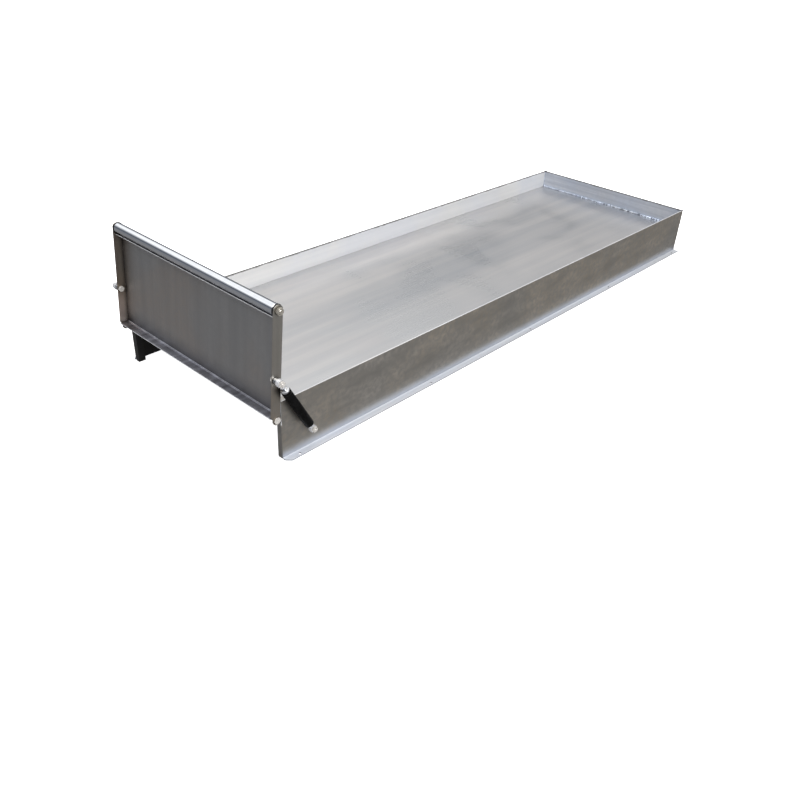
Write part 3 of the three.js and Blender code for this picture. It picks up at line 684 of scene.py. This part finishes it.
def turned_metal(name, colour, dark, fine, rough=(0.2, 0.34), depth=0.15, wear=0.5, metallic=1.0):
    """Turned or plated metal: fine marks, cloudy dulling and dark specks, bright worn corners."""
    plate = bpy.data.materials.new(name)
    plate.use_nodes = True
    tree = plate.node_tree
    shader = tree.nodes["Principled BSDF"]
    shader.inputs["Metallic"].default_value = metallic
    coords = add_node(tree, "ShaderNodeTexCoord")
    grain = add_node(tree, "ShaderNodeGroup", node_tree=brushing)
    grain.inputs["Fine"].default_value = fine
    grain.inputs["Broad"].default_value = (55, 55, 55)
    marks = add_node(tree, "ShaderNodeGroup", node_tree=handling)
    edges = add_node(tree, "ShaderNodeGroup", node_tree=rubbed_edges)
    edges.inputs["Reach"].default_value = 0.0006
    tree.links.new(coords.outputs["Object"], grain.inputs["Vector"])
    tree.links.new(coords.outputs["Object"], marks.inputs["Vector"])
    tone = mix_colour(tree, span(tree, grain.outputs["Bands"], -0.4, 1.4), (*dark, 1), (*colour, 1))
    tone = mix_colour(tree, span(tree, marks.outputs["Mottle"], 0.0, 0.35), tone, (*dark, 1))
    tone = mix_colour(tree, span(tree, marks.outputs["Spots"], 0.0, 0.5), tone, (*dark, 1))
    bright = tuple(min(1.0, part * 1.15) for part in colour)
    tone = mix_colour(tree, span(tree, edges.outputs["Edge"], 0.0, wear), tone, (*bright, 1))
    tree.links.new(tone, shader.inputs["Base Color"])
    tree.links.new(span(tree, grain.outputs["Scratches"], *rough), shader.inputs["Roughness"])
    relief = add_node(tree, "ShaderNodeBump")
    relief.inputs["Strength"].default_value = depth
    relief.inputs["Distance"].default_value = 0.0002
    tree.links.new(grain.outputs["Scratches"], relief.inputs["Height"])
    tree.links.new(relief.outputs["Normal"], shader.inputs["Normal"])
    return plate


zinc_plate = turned_metal("zinc_plate", (0.68, 0.66, 0.635), (0.5, 0.475, 0.44), (400, 400, 400),
                          metallic=0.35)
# A darker zinc for the axle and its nuts; on the hinge nuts inside the tray it is painted shade.
dull_zinc_shade = turned_metal("dull_zinc_shade", (0.66, 0.63, 0.57), (0.36, 0.33, 0.28), (400, 400, 400),
                         metallic=0.75)
turned_steel = turned_metal("turned_steel", (0.66, 0.67, 0.69), (0.45, 0.46, 0.48), (30, 1500, 30))


def turned_blank(profile, closed=False, steps=64):
    """A lathe-turned solid about Z from its half profile of radius and height."""
    bm = bmesh.new()
    points = [bm.verts.new((radius, 0, height)) for radius, height in profile]
    for first, second in zip(points, points[1:]):
        bm.edges.new((first, second))
    if closed:
        bm.edges.new((points[-1], points[0]))
    bmesh.ops.spin(bm, geom=bm.verts[:] + bm.edges[:], cent=(0, 0, 0), axis=(0, 0, 1),
                   angle=math.tau, steps=steps, use_merge=True)
    bmesh.ops.remove_doubles(bm, verts=bm.verts, dist=MERGE_WITHIN)
    bmesh.ops.recalc_face_normals(bm, faces=bm.faces)
    return bm


def hexed(bm, low, high, corner_radius):
    """Mills six flats between two heights on a turned blank, leaving its chamfers at the corners."""
    flat = corner_radius * math.cos(math.pi / 6)
    for number in range(6):
        angle = math.tau * (number + 0.5) / 6
        outward = Vector((math.cos(angle), math.sin(angle), 0))
        for vert in bm.verts:
            reach = vert.co.dot(outward)
            if reach > flat and low - MERGE_WITHIN <= vert.co.z <= high + MERGE_WITHIN:
                vert.co -= outward * (reach - flat)


def set_along(bm, axis_point, low, high, sign):
    """Lays a blank turned about Z on an axis along Y, in a node's box, with its foot inwards."""
    turn = Matrix.Rotation(-sign * math.pi / 2, 4, "X")
    place = Matrix.Translation((axis_point[0], low.y if sign > 0 else high.y, axis_point[2]))
    bmesh.ops.transform(bm, matrix=place @ turn, verts=bm.verts)


def threaded(radius, low, high):
    """Profile points for a thread between two heights, with a small lead at its tip."""
    root, points, height = radius - THREAD_DEPTH, [], low
    while height + THREAD_PITCH < high - THREAD_DEPTH:
        points += [(root, height), (radius, height + THREAD_PITCH / 2)]
        height += THREAD_PITCH
    return points + [(root, height), (radius, high - THREAD_DEPTH), (root, high)]


COUNTERSINK = 0.0006
FLAT_TOP, CORNER_DROP = 0.88, 0.0715
TURNED_SHARP = 28


def hex_nut(node, name, body, material, axis_point, sign, bore):
    """A chamfered hexagon nut in a node's own place, with a countersunk bore."""
    low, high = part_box(node)
    length = high.y - low.y
    corner = max(high.x - low.x, high.z - low.z) / 2
    flat, drop, mouth = corner * FLAT_TOP, corner * CORNER_DROP, bore + COUNTERSINK
    bm = turned_blank([
        (mouth, 0), (flat, 0), (corner, drop), (corner, length - drop), (flat, length),
        (mouth, length), (bore, length - COUNTERSINK), (bore, COUNTERSINK)], True, 72)
    hexed(bm, 0, length, corner)
    set_along(bm, axis_point, low, high, sign)
    finished(bm, name, [node], body, [material], sharp=TURNED_SHARP)


PIN_RADIUS, AXLE_BORE, STUD_RADIUS = 0.003, 0.005, 0.004
PIN_HEAD, PIN_DOME, PIN_THREAD, HEAD_BREAK = 0.0032, 0.55, 0.009, 0.0003
DOME_STEPS = 6
HEX_HEAD, HEAD_FLAT, HEAD_CHAMFER, STUD_THREAD = 0.0055, 0.86, 0.0009, 0.012
COLLAR_RIM = 0.0005
for side, sign in (("right", -1), ("left", 1)):
    # The hinge bolt's head is domed; its shank runs through cheek and lug to a nut inside.
    low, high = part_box(side + "_hinge_bolt")
    length = high.y - low.y
    head = (high.x - low.x) / 2
    neck, dome = length - PIN_HEAD, PIN_HEAD * PIN_DOME
    dome_profile = [(head * math.cos(angle), length - dome + dome * math.sin(angle))
                    for angle in (math.pi / 2 * part / DOME_STEPS for part in range(DOME_STEPS))]
    bolt_bm = turned_blank([(0, 0)] + threaded(PIN_RADIUS, 0, PIN_THREAD)[:-1]
                           + [(PIN_RADIUS, neck), (head - HEAD_BREAK, neck)] + dome_profile + [(0, length)])
    set_along(bolt_bm, hinge_point, low, high, sign)
    finished(bolt_bm, side + "_pivot_bolt", [side + "_hinge_bolt"], "tray", [zinc_plate],
             sharp=TURNED_SHARP)
    # The nut inside the tray is given the darker zinc as painted shade.
    hex_nut(side + "_hinge_nut", side + "_pivot_nut", "tray", dull_zinc_shade, hinge_point, sign, PIN_RADIUS)

    # Each strut stud is a hexagon-headed bolt with a spacer, the strut's eye and a nut on it.
    for end, point, body in (("base", base_point, "tray"), ("gate", gate_point, "gate")):
        prefix = f"{side}_strut_{end}_"
        low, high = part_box(prefix + "bolt")
        length = high.y - low.y
        corner = (high.z - low.z) / 2
        thread = threaded(STUD_RADIUS, 0, STUD_THREAD)
        tip = [(radius, length - height) for radius, height in reversed(thread)]
        bolt_bm = turned_blank([(0, 0), (corner * HEAD_FLAT, 0), (corner, HEAD_CHAMFER), (corner, HEX_HEAD),
                                (STUD_RADIUS, HEX_HEAD)] + tip + [(0, length)], False, 72)
        hexed(bolt_bm, 0, HEX_HEAD, corner)
        set_along(bolt_bm, point, low, high, sign)
        finished(bolt_bm, prefix + "stud", [prefix + "bolt"], body, [zinc_plate],
                 sharp=TURNED_SHARP)
        hex_nut(prefix + "nut", prefix + "hexnut", body, zinc_plate, point, sign, STUD_RADIUS)
        low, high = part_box(prefix + "spacer")
        bore, outer, length = STUD_RADIUS + FIT_PLAY, (high.x - low.x) / 2, high.y - low.y
        spacer_bm = turned_blank([
            (bore, 0), (outer - COLLAR_RIM, 0), (outer, COLLAR_RIM), (outer, length - COLLAR_RIM),
            (outer - COLLAR_RIM, length), (bore, length)], True)
        set_along(spacer_bm, point, low, high, sign)
        finished(spacer_bm, prefix + "collar", [prefix + "spacer"], body, [turned_steel],
                 sharp=TURNED_SHARP)
    hex_nut(side + "_axle_nut", side + "_axle_hexnut", "gate", dull_zinc_shade, roller_point, sign, AXLE_BORE)


# ---- Roller, its caps and axle ----
# A polished steel tube on two black moulded plugs, which turn on a threaded rod held by a nut
# outside each cheek.
roller_polish = turned_metal("roller_polish", (0.88, 0.9, 0.94), (0.76, 0.79, 0.84), (9, 900, 9),
                             rough=(0.07, 0.16), depth=0.08)
low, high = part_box("roller_tube")
outer, length, rim = (high.z - low.z) / 2, high.y - low.y, 0.0005
inner = outer - 0.002
tube_bm = turned_blank([
    (inner, rim), (inner + rim, 0), (outer - rim, 0), (outer, rim), (outer, length - rim),
    (outer - rim, length), (inner + rim, length), (inner, length - rim)], True, 96)
set_along(tube_bm, roller_point, low, high, 1)
finished(tube_bm, "roller_sleeve", ["roller_tube"], "roller", [roller_polish], sharp=25)

AXLE_THREAD, AXLE_PLAIN = 0.016, 0.02
low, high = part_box("roller_axle")
length, axle = high.y - low.y, (high.z - low.z) / 2
thread = threaded(axle, 0, AXLE_THREAD)
axle_bm = turned_blank(
    [(0, 0)] + [(radius, AXLE_THREAD - height) for radius, height in reversed(thread)]
    + [(axle, AXLE_PLAIN), (axle, length - AXLE_PLAIN)]
    + [(radius, length - AXLE_THREAD + height) for radius, height in thread] + [(0, length)], False, 48)
set_along(axle_bm, roller_point, low, high, 1)
finished(axle_bm, "axle_rod", ["roller_axle"], "gate", [dull_zinc_shade], sharp=TURNED_SHARP)


def black_finish(name, colour, lighter, rough, grain_scale, relief_depth, coat=0.0):
    """Paint or moulded plastic: a fine skin texture, dusty clouds, and paler rubbed corners."""
    skin = bpy.data.materials.new(name)
    skin.use_nodes = True
    tree = skin.node_tree
    shader = tree.nodes["Principled BSDF"]
    shader.inputs["Coat Weight"].default_value = coat
    shader.inputs["Specular IOR Level"].default_value = 0.07
    coords = add_node(tree, "ShaderNodeTexCoord")
    marks = add_node(tree, "ShaderNodeGroup", node_tree=handling)
    edges = add_node(tree, "ShaderNodeGroup", node_tree=rubbed_edges)
    edges.inputs["Reach"].default_value = 0.0007
    pores = add_node(tree, "ShaderNodeTexNoise")
    pores.inputs["Scale"].default_value = grain_scale
    pores.inputs["Detail"].default_value = 3
    tree.links.new(coords.outputs["Object"], marks.inputs["Vector"])
    tree.links.new(coords.outputs["Object"], pores.inputs["Vector"])
    tone = mix_colour(tree, span(tree, marks.outputs["Mottle"], 0.0, 0.5), (*colour, 1), (*lighter, 1))
    tone = mix_colour(tree, span(tree, marks.outputs["Spots"], 0.0, 0.4), tone, (*lighter, 1))
    tone = mix_colour(tree, span(tree, edges.outputs["Edge"], 0.0, 0.5), tone, (*lighter, 1))
    tree.links.new(tone, shader.inputs["Base Color"])
    tree.links.new(span(tree, marks.outputs["Clouds"], *rough), shader.inputs["Roughness"])
    relief = add_node(tree, "ShaderNodeBump")
    relief.inputs["Strength"].default_value = relief_depth
    relief.inputs["Distance"].default_value = 0.0002
    tree.links.new(pores.outputs["Fac"], relief.inputs["Height"])
    tree.links.new(relief.outputs["Normal"], shader.inputs["Normal"])
    return skin


cap_plastic = black_finish("cap_plastic", (0.006, 0.006, 0.007), (0.02, 0.02, 0.021), (0.42, 0.6),
                           2600, 0.3)
PLUG_PLAY, PLUG_INSET, PLUG_LEAD = 0.00008, 0.0031, 0.002
CAP_RIM, CAP_EDGE = 0.0035, 0.0007
CAP_LIP, HUB_WALL, DISH_DEPTH, DISH_SLOPE = 0.002, 0.0022, 0.0012, 0.0006
for side, sign in (("right", -1), ("left", 1)):
    low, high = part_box(side + "_roller_cap")
    outer, length = (high.z - low.z) / 2, high.y - low.y
    bore, plug, rim, dish = axle + PLUG_PLAY, outer - PLUG_INSET, length - CAP_RIM, length - DISH_DEPTH
    lip, hub = outer - CAP_LIP, bore + HUB_WALL
    cap_bm = turned_blank([
        (bore, 0), (plug - PLUG_LEAD, 0), (plug, PLUG_LEAD), (plug, rim), (outer - CAP_EDGE, rim),
        (outer, rim + CAP_EDGE), (outer, length - CAP_EDGE), (outer - CAP_EDGE, length), (lip, length),
        (lip - DISH_SLOPE, dish), (hub + DISH_SLOPE, dish), (hub, length), (bore, length)], True, 80)
    set_along(cap_bm, roller_point, low, high, sign)
    finished(cap_bm, side + "_roller_plug", [side + "_roller_cap"], "roller",
             [cap_plastic], None, 0.0002, 2, 40)


# ---- Gas struts ----
# A black painted tube with a rolled mouth and a gland ring, a polished rod, and a forged
# and plated eye on each end, one strut outside each side of the tray.
strut_paint = black_finish("strut_paint", (0.002, 0.002, 0.002), (0.007, 0.007, 0.007), (0.3, 0.45),
                           1400, 0.12)
rod_chrome = turned_metal("rod_chrome", (0.9, 0.9, 0.92), (0.75, 0.76, 0.79), (700, 700, 700),
                          rough=(0.08, 0.16), depth=0.03)
forged_zinc = turned_metal("forged_zinc", (0.8, 0.8, 0.82), (0.52, 0.53, 0.56), (350, 350, 350),
                           depth=0.3, metallic=0.5)
strut_way = Vector(gate_point) - Vector(base_point)
strut_reach = strut_way.length
strut_turn = math.atan2(strut_way.x, strut_way.z)
TUBE_RADIUS, TUBE_WALL, NECK_RADIUS = 0.011, 0.0017, 0.006
TUBE_START, TUBE_BASE, TUBE_PLUG = 0.020, 0.0153, 0.006
GLAND_HEIGHT, GLAND_INSET, NECK_END = 0.006, 0.0008, 0.015
ROD_RADIUS, ROD_SHOWN, PISTON_REST, PISTON_HEIGHT = 0.004, 0.007, 0.057, 0.008
TUBE_END = strut_reach - NECK_END - ROD_SHOWN - GLAND_HEIGHT - FIT_PLAY
# Steps cut in a blank: how far in from its radius, and how far up from a height.
SHOULDER = ((0.0018, -0.0016), (0.0005, -0.0003), (0, 0.0015))
GROOVE = ((0, -0.0115), (0.0007, -0.0105), (0.0007, -0.0095), (0, -0.0085))
ROLLED_MOUTH = ((0, -0.0018), (0.0006, -0.0005), (0.0012, 0))
GLAND_TOP = ((0, -0.0022), (0.0008, -0.0014), (0.0026, -0.0012), (0.0034, 0))
PISTON_SEAL = ((0, 0), (0, 0.003), (0.0009, 0.003), (0.0009, 0.005), (0, 0.005), (0, PISTON_HEIGHT))
ROD_TIP = ((0, -0.0004), (0.0004, 0))


def cut_steps(radius, height, steps):
    """Profile points for steps cut in a blank of that radius about a height."""
    return [(radius - inward, height + up) for inward, up in steps]


def on_strut(bm, sign):
    """Stands a blank turned about Z on the strut's line, measured from its lower eye."""
    place = Matrix.Translation((base_point[0], sign * abs(base_point[1]), base_point[2]))
    bmesh.ops.transform(bm, matrix=place @ Matrix.Rotation(strut_turn, 4, "Y"), verts=bm.verts)


for side, sign in (("right", -1), ("left", 1)):
    cylinder, piston = side + "_strut_cylinder", side + "_strut_piston"
    bore = TUBE_RADIUS - TUBE_WALL
    tube_bm = turned_blank(
        [(0, TUBE_BASE), (NECK_RADIUS, TUBE_BASE)] + cut_steps(TUBE_RADIUS, TUBE_START, SHOULDER)
        + cut_steps(TUBE_RADIUS, TUBE_END, GROOVE + ROLLED_MOUTH)
        + [(bore, TUBE_END), (bore, TUBE_START + TUBE_PLUG), (0, TUBE_START + TUBE_PLUG)], False, 72)
    on_strut(tube_bm, sign)
    finished(tube_bm, side + "_gas_tube", [side + "_strut_tube"], cylinder, [strut_paint],
             sharp=40)

    ring, slide = TUBE_RADIUS - GLAND_INSET, ROD_RADIUS + FIT_PLAY
    ring_low, ring_high = TUBE_END + FIT_PLAY, TUBE_END + FIT_PLAY + GLAND_HEIGHT
    gland_bm = turned_blank([(slide, ring_low), (ring, ring_low)] + cut_steps(ring, ring_high, GLAND_TOP)
                            + [(slide, ring_high)], True, 64)
    on_strut(gland_bm, sign)
    finished(gland_bm, side + "_gland_ring", [side + "_strut_gland"], cylinder,
             [turned_steel], None, 0.0002, 2, 40)

    rod_low, rod_high = TUBE_START + TUBE_PLUG + PISTON_REST, strut_reach - NECK_END - FIT_PLAY
    rod_bm = turned_blank([(0, rod_low)] + cut_steps(bore - FIT_PLAY, rod_low, PISTON_SEAL)
                          + [(ROD_RADIUS, rod_low + PISTON_HEIGHT)]
                          + cut_steps(ROD_RADIUS, rod_high, ROD_TIP) + [(0, rod_high)], False, 48)
    on_strut(rod_bm, sign)
    finished(rod_bm, side + "_piston_rod", [side + "_strut_rod"], piston, [rod_chrome],
             sharp=30)

    for end, body in (("lower", cylinder), ("upper", piston)):
        node = f"{side}_strut_{end}_eye"
        finished(working_copy(node), f"{side}_{end}_forged_eye", [node], body,
                 [forged_zinc], None, 0.0007, 3, 45)


low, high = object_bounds()
